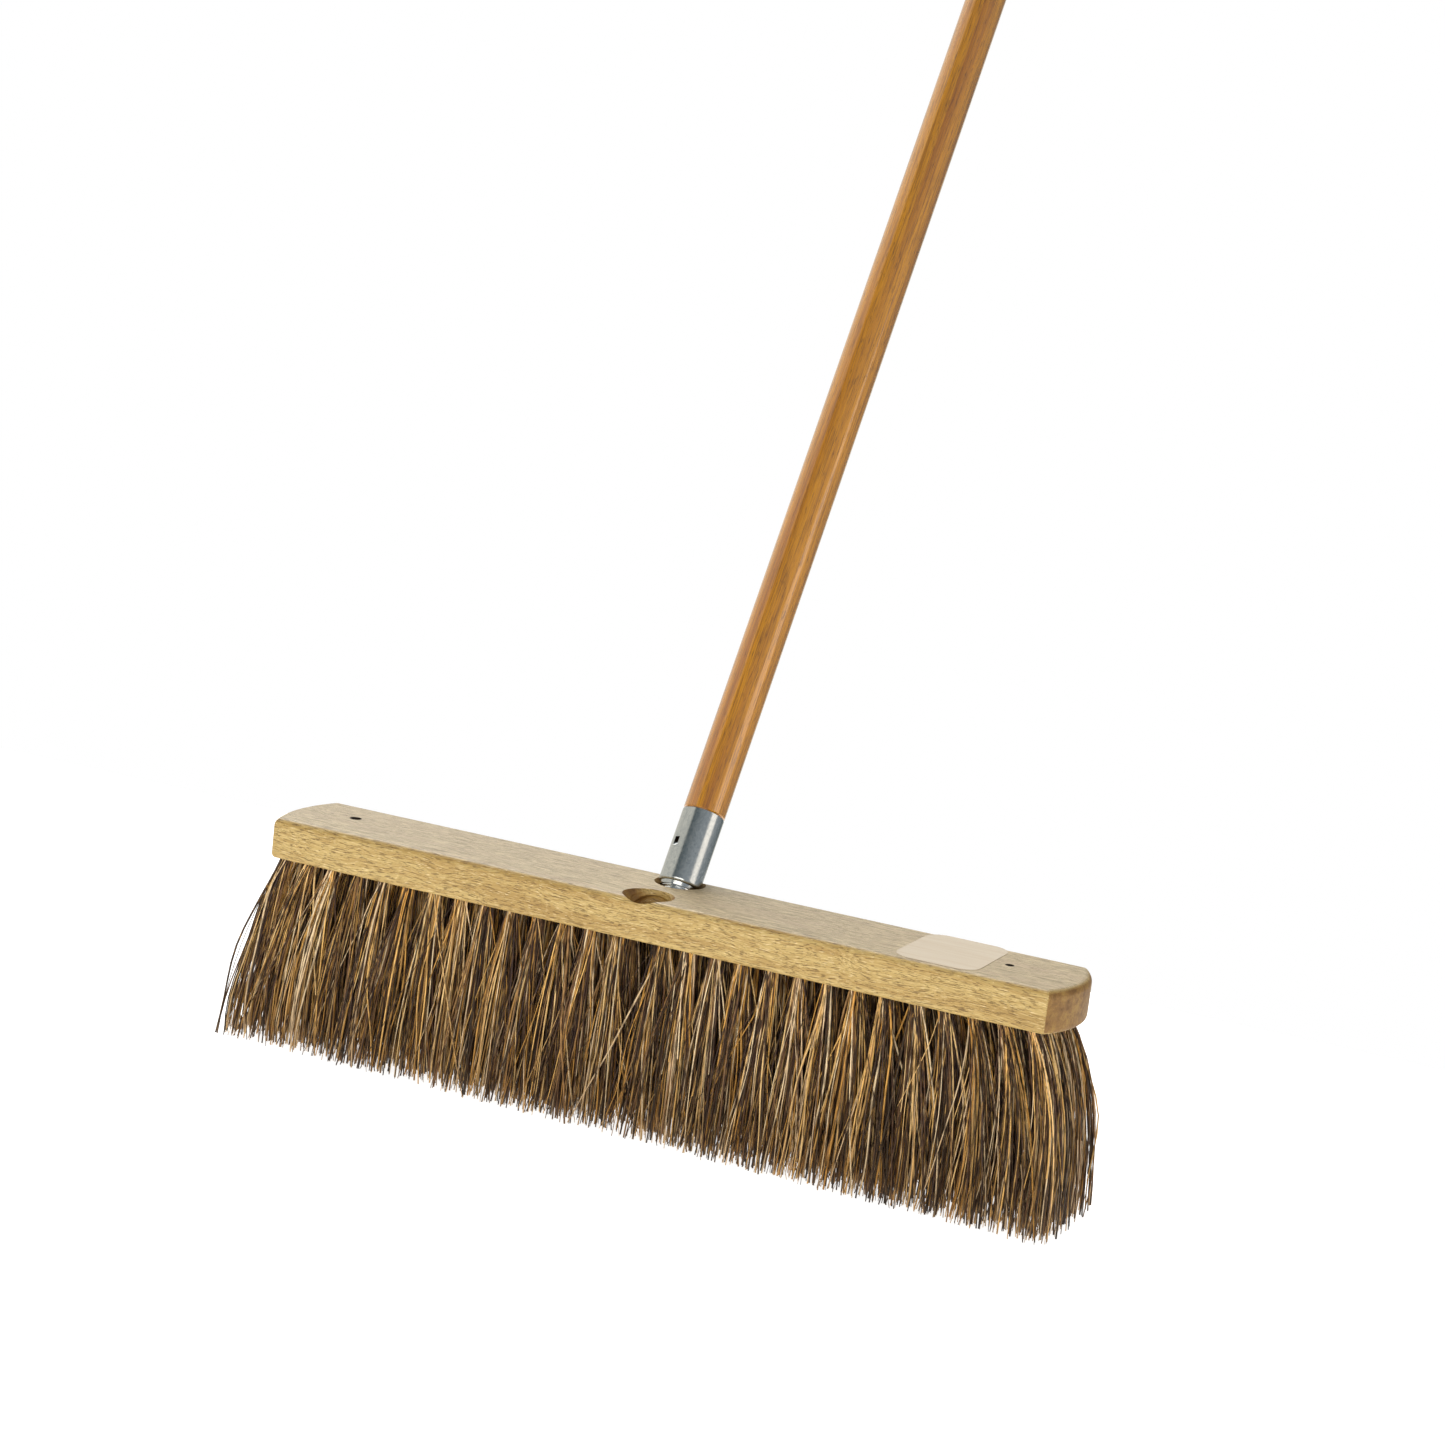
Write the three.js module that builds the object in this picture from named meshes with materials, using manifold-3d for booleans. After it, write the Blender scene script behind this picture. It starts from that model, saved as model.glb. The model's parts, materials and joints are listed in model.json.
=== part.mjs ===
// Push broom: a hardwood block with stiff fibre tufts and a wooden handle that screws into it.
// Millimetres. +X runs along the block, the handle leans towards +Y, +Z is up, and the origin is
// the middle of the plane that the bristle tips sweep.
import * as THREE from "three";
import { mergeVertices } from "three/addons/utils/BufferGeometryUtils.js";
import Module from "manifold-3d";

// --- Block ---
const blockLength = 457.2; // 18 in, over the bowed ends
const blockWidth = 63.5; // 2 1/2 in
const blockHeight = 22.2; // 7/8 in
const endBow = 9; // how far each end bows out past its corners
const endSteps = 10;
const topRound = 4; // rounded upper edge, all the way round
const topRoundSteps = 3;
const bottomRound = 2.5; // slighter rounding of the lower edge
const bottomRoundSteps = 2;
const drillOffset = -2; // the drilled pattern's middle, along the block from the block's own middle

// --- Bristles ---
const trim = 101.6; // 4 in from the block's underside to the tips
const columnsPerSide = 14;
const columnPitch = 15.5;
const middleGap = 24.8; // between the two middle columns, left clear below the handle holes
const rowPitch = 15;
const rowCentres = [-1.5, -0.5, 0.5, 1.5].map((step) => step * rowPitch);
const tuftHoleRadius = 4.3;
const tuftHoleDepth = 11;
const middleTuftHoleDepth = 5; // shallower, because the handle holes end just above
const tuftSides = 8;
const endSplay = 20; // how far the outermost tufts lean out along the block
const endSplayPower = 2.5; // how quickly that lean dies away towards the middle
const sideSplay = 7; // how far the front and back tufts lean out
const splayCurve = 3; // tufts lean most near the block and hang straight at the tips
const flareDepth = 0.25; // share of the trim after which neighbouring tufts have merged
const sectionLevels = [1, 0.5, flareDepth, 0.1, 0]; // shares of the trim, tips first
const sectionChamfer = 3;

// --- Handle holes ---
const handleTilt = THREE.MathUtils.degToRad(31); // from the vertical
const holeSetback = 19; // from the block's long middle line to a hole's centre on the top face
const threadBoreRadius = 9.6;
const boreDepth = 15;
const mouthDepth = 9.2; // of the upright countersink round each hole
const mouthSides = 48;

// --- Small blind holes in the top face ---
const smallHoles = [
  { x: -191.5, y: 4, radius: 3.2 },
  { x: 188, y: 1, radius: 2.2 },
];
const smallHoleDepth = 8;
const smallHoleSides = 16;

// --- Handle, along its own axis: 0 is the block's top face, and up the handle is positive ---
const handleRadius = 11.4;
const handleLength = 1524; // 60 in, with the threaded tip
const sleeveBottom = -0.3;
const sleeveLength = 39.5;
const sleeveWall = 0.6;
const shoulderHeight = 3.6; // the sleeve's lower rim is rolled in this far below its straight part
const tipRadius = 9.3;
const tipCoreRadius = 8.1;
const tipEnd = -14.6;
const threadTop = -4.5;
const threadPitch = 5.08; // 5 threads to the inch
const threadCrestShift = 0.5; // widens the thread's flat crests
const tipLeadIn = 0.6; // how much slimmer the tip's core is at its very end
const threadSides = 20;
const threadStepsPerTurn = 8;
const plugTop = 10; // top of the tip's plain part, inside the sleeve
const topDome = 6;
const stakeHeight = 19.4; // of the stake's middle, along the handle
const stakeSize = { width: 3.4, height: 4.8, notchDepth: 4.5 };
const stakeAngle = THREE.MathUtils.degToRad(-30); // round the handle, from the front towards -X
const stakeBend = THREE.MathUtils.degToRad(28);
const roundSides = 40;
const clearance = 0.3; // between pieces that touch
const overshoot = 2; // how far a cutting or joining shape runs past the face it meets

const endRadius = (blockWidth ** 2 / 4 + endBow ** 2) / (2 * endBow);
const endCentre = blockLength / 2 - endRadius;
const blockTop = trim + blockHeight;
const rootRadius = tuftHoleRadius - clearance;
const outermostColumn = columnDistance(columnsPerSide);
const sleeveTop = sleeveBottom + sleeveLength;
const footRadius = handleRadius - sleeveWall - clearance;
// The countersink's slope is the handle's own tilt, so that it clears the sleeve all the way down.
const mouthRadius = (handleRadius + clearance) / Math.cos(handleTilt);
const mouthFloorRadius = mouthRadius - mouthDepth * Math.tan(handleTilt);

const wasm = await Module();
wasm.setup();

// --- Materials ---
const wood = (color, roughness) => new THREE.MeshStandardMaterial({ color, roughness, metalness: 0 });
const blockWood = wood(0xcfae72, 0.55);
const handleWood = wood(0xb26a26, 0.25);
const fibre = wood(0x5b3d22, 0.9);
const galvanisedSteel = new THREE.MeshStandardMaterial({ color: 0x9aa3a8, roughness: 0.4, metalness: 1 });
const brightZinc = new THREE.MeshStandardMaterial({ color: 0xd6d8da, roughness: 0.2, metalness: 1 });

// --- Solids ---
// A closed geometry as a solid that can be joined and cut, moved by a matrix if one is given.
function solid(geometry, matrix = new THREE.Matrix4()) {
  const bare = geometry.clone().applyMatrix4(matrix);
  bare.deleteAttribute("normal");
  bare.deleteAttribute("uv");
  const merged = mergeVertices(bare, 1e-4);
  const mesh = new wasm.Mesh({
    numProp: 3,
    vertProperties: new Float32Array(merged.attributes.position.array),
    triVerts: new Uint32Array(merged.index.array),
  });
  return new wasm.Manifold(mesh);
}

function geometryOf(manifold) {
  const mesh = manifold.getMesh();
  const geometry = new THREE.BufferGeometry();
  geometry.setAttribute("position", new THREE.BufferAttribute(mesh.vertProperties, 3));
  geometry.setIndex(new THREE.BufferAttribute(mesh.triVerts, 1));
  geometry.computeVertexNormals();
  return geometry;
}

function named(name, geometry, material) {
  const mesh = new THREE.Mesh(geometry, material);
  mesh.name = name;
  return mesh;
}

// A closed geometry through convex rings of points. Each ring runs anticlockwise seen from above,
// and the rings are listed upwards.
function loft(rings) {
  const count = rings[0].length;
  const top = (rings.length - 1) * count;
  const faces = [];
  for (let first = 0; first < top; first += count)
    for (let i = 0; i < count; i++) {
      const a = first + i;
      const b = first + ((i + 1) % count);
      faces.push(a, b, b + count, a, b + count, a + count);
    }
  for (let i = 1; i < count - 1; i++) faces.push(0, i + 1, i, top, top + i, top + i + 1);
  const geometry = new THREE.BufferGeometry();
  const points = rings.flat().flatMap((point) => point.toArray());
  geometry.setAttribute("position", new THREE.Float32BufferAttribute(points, 3));
  geometry.setIndex(faces);
  geometry.computeVertexNormals();
  return geometry;
}

// A solid of revolution about the local Y axis, from [radius, height] pairs.
function turned(profile, sides = roundSides) {
  const points = profile.map(([radius, height]) => new THREE.Vector2(radius, height));
  return new THREE.LatheGeometry(points, sides);
}

// An upright round plug, z from its low end to its high end.
function plug(x, y, low, high, radius, sides) {
  const geometry = new THREE.CylinderGeometry(radius, radius, high - low, sides);
  return solid(geometry.rotateX(Math.PI / 2).translate(x, y, (low + high) / 2));
}

// --- Handle axis ---
// Takes the lathes' Y axis onto a handle hole's axis, pointing out of the block. side is 1 for the
// back hole, whose handle leans towards +Y, and -1 for the front one.
function holeMatrix(side) {
  const matrix = new THREE.Matrix4().makeRotationX(Math.PI / 2 - side * handleTilt);
  return matrix.setPosition(drillOffset, side * holeSetback, blockTop);
}

// --- Block ---
function blockOutline(inset, z) {
  const radius = endRadius - inset;
  const corner = Math.asin((blockWidth / 2 - inset) / radius);
  const points = [];
  for (const side of [1, -1])
    for (let i = 0; i <= endSteps; i++) {
      const angle = corner * ((2 * i) / endSteps - 1);
      const x = side * (endCentre + radius * Math.cos(angle));
      points.push(new THREE.Vector3(x, side * radius * Math.sin(angle), z));
    }
  return points;
}

function blockBlank() {
  const rings = [];
  for (let i = 0; i <= bottomRoundSteps; i++) {
    const angle = (Math.PI / 2) * (i / bottomRoundSteps);
    const inset = bottomRound * (1 - Math.sin(angle));
    rings.push(blockOutline(inset, trim + bottomRound * (1 - Math.cos(angle))));
  }
  for (let i = 0; i <= topRoundSteps; i++) {
    const angle = (Math.PI / 2) * (i / topRoundSteps);
    const inset = topRound * (1 - Math.cos(angle));
    rings.push(blockOutline(inset, blockTop - topRound + topRound * Math.sin(angle)));
  }
  return solid(loft(rings));
}

// A handle hole: the tilted bore of its thread, and an upright countersink that opens its mouth.
function handleHole(side) {
  const boreHeight = boreDepth + blockHeight;
  const bore = new THREE.CylinderGeometry(threadBoreRadius, threadBoreRadius, boreHeight, roundSides);
  bore.translate(0, boreHeight / 2 - boreDepth, 0);
  const openingRadius = mouthRadius + overshoot * Math.tan(handleTilt);
  const mouthHeight = mouthDepth + overshoot;
  const mouth = new THREE.CylinderGeometry(openingRadius, mouthFloorRadius, mouthHeight, mouthSides);
  mouth.rotateX(Math.PI / 2);
  mouth.translate(drillOffset, side * holeSetback, blockTop - mouthDepth + mouthHeight / 2);
  return solid(bore, holeMatrix(side)).add(solid(mouth));
}

// How far a column of tuft holes is from the middle of the drilled pattern. Column 1 is nearest.
function columnDistance(number) {
  return middleGap / 2 + (number - 1) * columnPitch;
}

function columnX(side, number) {
  return drillOffset + side * columnDistance(number);
}

function tuftHoles() {
  const holes = [];
  for (const side of [1, -1])
    for (let number = 1; number <= columnsPerSide; number++)
      for (const y of rowCentres) {
        const depth = number === 1 ? middleTuftHoleDepth : tuftHoleDepth;
        const x = columnX(side, number);
        holes.push(plug(x, y, trim - overshoot, trim + depth, tuftHoleRadius, tuftSides));
      }
  return holes;
}

function makeBlock() {
  let block = blockBlank().subtract(handleHole(1)).subtract(handleHole(-1));
  for (const hole of tuftHoles()) block = block.subtract(hole);
  for (const { x, y, radius } of smallHoles) {
    const bottom = blockTop - smallHoleDepth;
    block = block.subtract(plug(x, y, bottom, blockTop + overshoot, radius, smallHoleSides));
  }
  return named("block", geometryOf(block), blockWood);
}

// --- Tufts ---
// How much of its full lean a tuft has at a share of the trim below the block.
function leanAt(share) {
  return 1 - (1 - share) ** splayCurve;
}

function splayedX(x, share) {
  const distance = x - drillOffset;
  const lean = endSplay * Math.abs(distance / outermostColumn) ** endSplayPower;
  return x + Math.sign(distance) * lean * leanAt(share);
}

// One level of the fibres that hang from the holes between two x positions of the block.
function tuftSection(firstX, lastX, share) {
  const grown = Math.min(1, share / flareDepth);
  const flare = rootRadius + (columnPitch / 2 - rootRadius) * grown;
  const low = splayedX(firstX - flare, share) + clearance / 2;
  const high = splayedX(lastX + flare, share) - clearance / 2;
  const depth = rowCentres.at(-1) + rootRadius + sideSplay * leanAt(share);
  const chamfer = sectionChamfer;
  const z = (trim - clearance) * (1 - share);
  const outline = [
    [low + chamfer, -depth],
    [high - chamfer, -depth],
    [high, chamfer - depth],
    [high, depth - chamfer],
    [high - chamfer, depth],
    [low + chamfer, depth],
    [low, depth - chamfer],
    [low, chamfer - depth],
  ];
  return outline.map(([x, y]) => new THREE.Vector3(x, y, z));
}

// The tufts of one or two columns of holes: their roots in the block, and the fibres below it.
function tuftGroup(name, columns, holeDepth) {
  const firstX = Math.min(...columns);
  const lastX = Math.max(...columns);
  let tufts = solid(loft(sectionLevels.map((share) => tuftSection(firstX, lastX, share))));
  for (const x of columns)
    for (const y of rowCentres) {
      const top = trim + holeDepth - clearance;
      tufts = tufts.add(plug(x, y, trim - overshoot, top, rootRadius, tuftSides));
    }
  return named(name, geometryOf(tufts), fibre);
}

function makeTufts() {
  const tufts = [tuftGroup("tufts_middle", [columnX(-1, 1), columnX(1, 1)], middleTuftHoleDepth)];
  for (const [word, side] of [["left", -1], ["right", 1]])
    for (let number = 2; number <= columnsPerSide; number++) {
      const name = `tufts_${word}_${String(number).padStart(2, "0")}`;
      tufts.push(tuftGroup(name, [columnX(side, number)], tuftHoleDepth));
    }
  return tufts;
}

// --- Handle ---
// The tip's radius at an angle and a height: a right-hand thread with flat crests and roots.
function threadRadius(angle, height) {
  if (height >= threadTop) return tipRadius;
  const turns = height / threadPitch - angle / (2 * Math.PI);
  const ridge = THREE.MathUtils.clamp(threadCrestShift + Math.cos(2 * Math.PI * turns), 0, 1);
  const runOut = THREE.MathUtils.clamp((height - tipEnd) / (threadPitch / 2), 0, 1);
  const core = tipCoreRadius - tipLeadIn * (1 - runOut);
  return core + (tipRadius - tipCoreRadius) * ridge * runOut;
}

function tipRing(height, radiusAt) {
  const ring = [];
  for (let i = 0; i < threadSides; i++) {
    const angle = (2 * Math.PI * i) / threadSides;
    const radius = radiusAt(angle);
    ring.push(new THREE.Vector3(radius * Math.cos(angle), radius * Math.sin(angle), height));
  }
  return ring;
}

// Threaded stretch, plain neck through the sleeve's rolled rim, and a plug held inside the sleeve.
function makeTip() {
  const rings = [];
  const steps = Math.ceil(((threadTop - tipEnd) / threadPitch) * threadStepsPerTurn);
  for (let i = 0; i <= steps; i++) {
    const height = tipEnd + ((threadTop - tipEnd) * i) / steps;
    rings.push(tipRing(height, (angle) => threadRadius(angle, height)));
  }
  const plugBottom = sleeveBottom + sleeveWall + clearance;
  rings.push(tipRing(plugBottom, () => tipRadius));
  rings.push(tipRing(plugBottom, () => footRadius));
  rings.push(tipRing(plugTop, () => footRadius));
  return named("threaded_tip", loft(rings).rotateX(-Math.PI / 2), brightZinc);
}

function sleeveTube() {
  const rimRadius = tipRadius + clearance;
  const inner = handleRadius - sleeveWall;
  return solid(
    turned([
      [inner, sleeveTop],
      [inner, sleeveBottom + sleeveWall],
      [rimRadius, sleeveBottom + sleeveWall],
      [rimRadius, sleeveBottom - shoulderHeight],
      [rimRadius + sleeveWall, sleeveBottom - shoulderHeight],
      [handleRadius, sleeveBottom],
      [handleRadius, sleeveTop],
      [inner, sleeveTop],
    ]),
  );
}

// Places something made at the stake's middle, facing outwards along local +X.
function stakeMatrix() {
  const turn = new THREE.Matrix4().makeRotationY(-Math.PI / 2 + stakeAngle);
  return turn.multiply(new THREE.Matrix4().makeTranslation(handleRadius, stakeHeight, 0));
}

// The tongue of sleeve metal that is bent into the wood, hinged at the window's lower edge.
function stakeTongue(thickness, width) {
  const reach = stakeSize.height + 2 * sleeveWall;
  const tongue = new THREE.BoxGeometry(thickness, reach, width);
  tongue.translate(-thickness / 2, reach / 2 - sleeveWall, 0).rotateZ(stakeBend);
  tongue.translate(0, -stakeSize.height / 2, 0);
  return solid(tongue, stakeMatrix());
}

function makeSleeve() {
  const window = new THREE.BoxGeometry(2 * overshoot, stakeSize.height, stakeSize.width);
  const tongue = stakeTongue(sleeveWall, stakeSize.width - 2 * clearance);
  const tube = sleeveTube().subtract(solid(window, stakeMatrix())).add(tongue);
  return named("ferrule_sleeve", geometryOf(tube), galvanisedSteel);
}

// The dowel: turned down where it sits in the sleeve, domed at the top, and notched by the stake.
function makeDowel() {
  const top = tipEnd + handleLength;
  const shoulder = sleeveTop + clearance;
  const dome = [1, 2].map((step) => {
    const angle = (Math.PI / 2) * (step / 3);
    return [handleRadius * Math.cos(angle), top - topDome + topDome * Math.sin(angle)];
  });
  const dowel = solid(
    turned([
      [0, plugTop + clearance],
      [footRadius, plugTop + clearance],
      [footRadius, shoulder],
      [handleRadius, shoulder],
      [handleRadius, top - topDome],
      ...dome,
      [0, top],
    ]),
  );
  const notchHeight = stakeSize.height + 2 * sleeveWall;
  const notch = new THREE.BoxGeometry(2 * stakeSize.notchDepth, notchHeight, stakeSize.width);
  return named("handle_dowel", geometryOf(dowel.subtract(solid(notch, stakeMatrix()))), handleWood);
}

function makeHandle() {
  const handle = new THREE.Group();
  handle.applyMatrix4(holeMatrix(1));
  handle.add(makeTip(), makeSleeve(), makeDowel());
  return handle;
}

const broom = new THREE.Group();
broom.add(makeBlock(), ...makeTufts(), makeHandle());
export default broom;
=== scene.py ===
"""A push broom's looks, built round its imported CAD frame. Metres, +X along the block, the handle
leans towards +Y, +Z is up, and the floor is at zero."""
import json
import math

import bmesh
import bpy
import numpy as np
from mathutils import Matrix, Quaternion, Vector


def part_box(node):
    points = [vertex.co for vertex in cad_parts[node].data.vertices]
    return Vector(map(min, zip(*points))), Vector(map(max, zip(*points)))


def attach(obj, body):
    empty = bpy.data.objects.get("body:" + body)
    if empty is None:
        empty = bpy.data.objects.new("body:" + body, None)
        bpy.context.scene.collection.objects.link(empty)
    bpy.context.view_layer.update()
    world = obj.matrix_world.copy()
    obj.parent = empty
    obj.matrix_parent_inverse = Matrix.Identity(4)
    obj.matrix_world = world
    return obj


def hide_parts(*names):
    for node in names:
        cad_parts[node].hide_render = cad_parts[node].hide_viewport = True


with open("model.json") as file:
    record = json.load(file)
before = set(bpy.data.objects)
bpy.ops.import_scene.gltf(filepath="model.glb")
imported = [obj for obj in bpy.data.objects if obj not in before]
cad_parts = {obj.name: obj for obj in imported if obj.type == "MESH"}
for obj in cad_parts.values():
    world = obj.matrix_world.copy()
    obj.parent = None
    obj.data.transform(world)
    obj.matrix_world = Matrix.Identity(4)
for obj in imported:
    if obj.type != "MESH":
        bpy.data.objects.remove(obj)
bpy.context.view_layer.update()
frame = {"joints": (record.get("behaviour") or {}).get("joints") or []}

MM = 0.001

# --- Block ---
BLOCK_LOW, BLOCK_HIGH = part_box("block")
UNDERSIDE = BLOCK_LOW.z
BLOCK_TOP = BLOCK_HIGH.z
HALF_LENGTH = BLOCK_HIGH.x
HALF_WIDTH = BLOCK_HIGH.y
ENDS = {1: (HALF_LENGTH, 9 * MM), -1: (HALF_LENGTH - 2 * MM, 6 * MM)}  # each end's reach and bow
TOP_ROUND = 4 * MM
BOTTOM_ROUND = 2.5 * MM
CORNER_ROUND = 1.6 * MM
TOP_STEPS = 8
BOTTOM_STEPS = 3
END_STEPS = 24
CORNER_STEPS = 4
OVERSHOOT = 2 * MM  # how far a cutting shape runs past the face it meets
DRILL_OFFSET = -2 * MM  # the drilled pattern's middle, along the block
SMALL_HOLES = [(-191.5 * MM, 4 * MM, 3.2 * MM), (188 * MM, 1 * MM, 2.2 * MM)]  # x, y, radius
SMALL_HOLE_DEPTH = 8 * MM
SMALL_HOLE_SIDES = 32
HOLE_SHADE_SPREAD = 0.4 * MM  # how far a small hole's painted shade spreads over the top face, as a dark edge
SCUFF_CENTRE = (-201 * MM, 2 * MM)
SCUFF_RADIUS = 7 * MM
SCUFF_SOFTNESS = 3 * MM

# --- Tufts ---
COLUMNS_PER_SIDE = 14
COLUMN_PITCH = 15.5 * MM
MIDDLE_GAP = 24.8 * MM
ROW_CENTRES = [step * 15 * MM for step in (-1.5, -0.5, 0.5, 1.5)]
TUFT_HOLE_RADIUS = 4.3 * MM
TUFT_HOLE_DEPTH = 11 * MM
MIDDLE_TUFT_HOLE_DEPTH = 5 * MM
TUFT_HOLE_SIDES = 18
STAPLE_RADIUS = 0.45 * MM
STAPLE_SIDES = 6
STAPLE_LEG = 3 * MM  # how far a staple's legs reach into the wood
MIDDLE_STAPLE_LEG = 0.5 * MM  # shorter, because the handle holes end just above
STAPLE_FOLD = 1.5 * MM  # from a hole's end to the staple's bar
STAPLE_BEND = 1 * MM
END_SPLAY = 20 * MM
END_SPLAY_POWER = 2.5
SIDE_SPLAY = 6 * MM
LEFT_SPLAY_CURVE = 1.8  # the higher, the sooner the fibres reach their full splay
RIGHT_SPLAY_CURVE = 3
SPREAD_LIMIT = 3 * MM  # how far past its own tuft's outward lean a fibre may stray at the ends
FIBRES_PER_TUFT = 80
FIBRE_SIDES = 4
FIBRE_LEVELS = 12

# --- Handle, with heights along its own axis from the block's top face ---
HANDLE_RADIUS = 11.4 * MM
HANDLE_LENGTH = 1524 * MM
TIP_END = -14.6 * MM
SLEEVE_BOTTOM = -0.3 * MM
SLEEVE_TOP = 39.2 * MM
SLEEVE_WALL = 0.6 * MM
SHOULDER = 3.6 * MM  # the rolled rim and the neck below it
NECK_HEIGHT = 1.9 * MM
RIM_LIP = 0.25 * MM  # the bevel at each end of the sleeve
RIM_FOOT = 0.35 * MM  # the rim's thickness at its foot
RIM_NECK = 0.6 * MM  # and where it starts to widen
RIM_STEPS = 6
SLEEVE_SIDES = 160
TIP_RADIUS = 9.3 * MM
TIP_CORE_RADIUS = 8.1 * MM
THREAD_TOP = -4.5 * MM
THREAD_PITCH = 5.08 * MM
THREAD_STEPS = 72
TIP_LEAD_IN = 0.6 * MM  # how much slimmer the tip's core is at its very end
PLUG_TOP = 10 * MM
GAP = 0.3 * MM
STAKE_HEIGHT = 19.4 * MM
STAKE_WIDTH = 3.4 * MM
STAKE_TALL = 4.8 * MM
STAKE_ANGLE = math.radians(-30)  # round the handle, from the front towards -X
STAKE_BEND = math.radians(28)
NICK_ANGLE = math.radians(-23)
NICK_HEIGHT = 1.6 * MM
NICK_DEPTH = 0.5 * MM
NICK_SLANT = 0.8
NICK_WIDTH = 0.6 * MM
NICK_REACH = 1.3 * MM
NICK_RINGS = 12  # rings of points close together low on the sleeve, for the nick to be pressed into
NICK_RING_GAP = 0.5 * MM
WINDOW_DEPTH = 4 * MM  # of the shape that cuts the stake's window
NOTCH_DEPTH = 4.5 * MM  # of the notch in the wood behind the window
TOP_DOME = 6 * MM
DOME_STEPS = 10
DOWEL_EDGE = 0.5 * MM
DOWEL_LENGTHS = 24
ROUND_SIDES = 96

# --- Handle holes, from the top face down ---
BORE_RADIUS = 9.6 * MM
BORE_DEPTH = 15 * MM
BORE_TOP = 12 * MM  # above the top face, where the tilted cutter is clear of the wood
BORE_STEPS = 80
GROOVE_DEPTH = 1.6 * MM  # of the thread cut into the wood
GROOVE_BREADTH = 0.7  # below 1 makes the grooves broad and the ridges between them narrow
MOUTH_DEPTH = 9.2 * MM  # of the upright countersink

# --- Label ---
LABEL_CENTRE = (157.5 * MM, 1.5 * MM)
LABEL_SIZE = (44 * MM, 59 * MM)
LABEL_CORNER = 10 * MM
LABEL_CORNER_STEPS = 8
LABEL_LIFT = 0.05 * MM  # clear of the wood
LABEL_THICKNESS = 0.15 * MM


def handle_matrix(side):
    """Takes local Z onto a handle hole's axis. side is 1 for the back hole, -1 for the spare one."""
    turn = next(joint for joint in frame["joints"] if joint["name"] == "handle_turn")
    axis = Vector(turn["axis"])
    centre = Vector(turn["pos_m"])
    tilt = math.atan2(axis.y, axis.z)
    place = Vector((centre.x, side * centre.y, centre.z))
    return Matrix.Translation(place) @ Matrix.Rotation(-side * tilt, 4, "X")


# --- Meshes ---
def new_piece(name, points, faces):
    mesh = bpy.data.meshes.new(name)
    mesh.from_pydata([tuple(point) for point in points], [], faces)
    shape = bmesh.new()
    shape.from_mesh(mesh)
    bmesh.ops.recalc_face_normals(shape, faces=shape.faces)
    shape.to_mesh(mesh)
    shape.free()
    piece = bpy.data.objects.new(name, mesh)
    bpy.context.scene.collection.objects.link(piece)
    return piece


def loft(name, rings, closed=False):
    """A solid through rings of the same number of points. A closed one runs round to its first ring."""
    count = len(rings[0])
    total = count * len(rings)
    faces = []
    for first in range(0, total if closed else total - count, count):
        for i in range(count):
            a = first + i
            b = first + (i + 1) % count
            faces.append([a, b, (b + count) % total, (a + count) % total])
    if not closed:
        faces += [list(range(count)), list(range(total - count, total))]
    return new_piece(name, [point for ring in rings for point in ring], faces)


def circle(radius, height, sides, centre=(0, 0)):
    angles = [2 * math.pi * i / sides for i in range(sides)]
    x, y = centre
    return [(x + radius * math.cos(a), y + radius * math.sin(a), height) for a in angles]


def turned(name, profile, sides=ROUND_SIDES, closed=False):
    """A solid of revolution about local Z, through (radius, height) pairs."""
    return loft(name, [circle(radius, height, sides) for radius, height in profile], closed)


def apply_modifiers(piece):
    evaluated = piece.evaluated_get(bpy.context.evaluated_depsgraph_get())
    mesh = bpy.data.meshes.new_from_object(evaluated)
    piece.modifiers.clear()
    piece.data = mesh
    mesh.name = piece.name


def cut(piece, cutter):
    modifier = piece.modifiers.new("cut", "BOOLEAN")
    modifier.operation = "DIFFERENCE"
    modifier.solver = "EXACT"
    modifier.object = cutter
    bpy.context.view_layer.update()
    apply_modifiers(piece)
    bpy.data.objects.remove(cutter)


def join(name, pieces):
    """One object of the meshes of several, which are removed."""
    points, faces = [], []
    for piece in pieces:
        first = len(points)
        points += [piece.matrix_basis @ vertex.co for vertex in piece.data.vertices]
        faces += [[first + i for i in polygon.vertices] for polygon in piece.data.polygons]
        bpy.data.objects.remove(piece)
    return new_piece(name, points, faces)


def smooth(piece, degrees=35):
    """Smooth shading, but not across edges sharper than that, and flat faces stay flat."""
    piece.data.shade_smooth()
    piece.data.set_sharp_from_angle(angle=math.radians(degrees))
    modifier = piece.modifiers.new("weighted", "WEIGHTED_NORMAL")
    modifier.keep_sharp = True
    apply_modifiers(piece)


def show(piece, material, body, slot, *nodes):
    """Gives a finished piece its material and body, and hides the CAD nodes that it stands for. The
    slot is not used.
    """
    piece.data.materials.clear()
    piece.data.materials.append(material)
    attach(piece, body)
    if nodes:
        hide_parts(*nodes)


# --- Node materials ---
def colour(code):
    """Linear RGBA of an sRGB hex code."""
    parts = [int(code[i:i + 2], 16) / 255 for i in (0, 2, 4)]
    linear = [part / 12.92 if part <= 0.04045 else ((part + 0.055) / 1.055) ** 2.4 for part in parts]
    return (*linear, 1)


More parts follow.
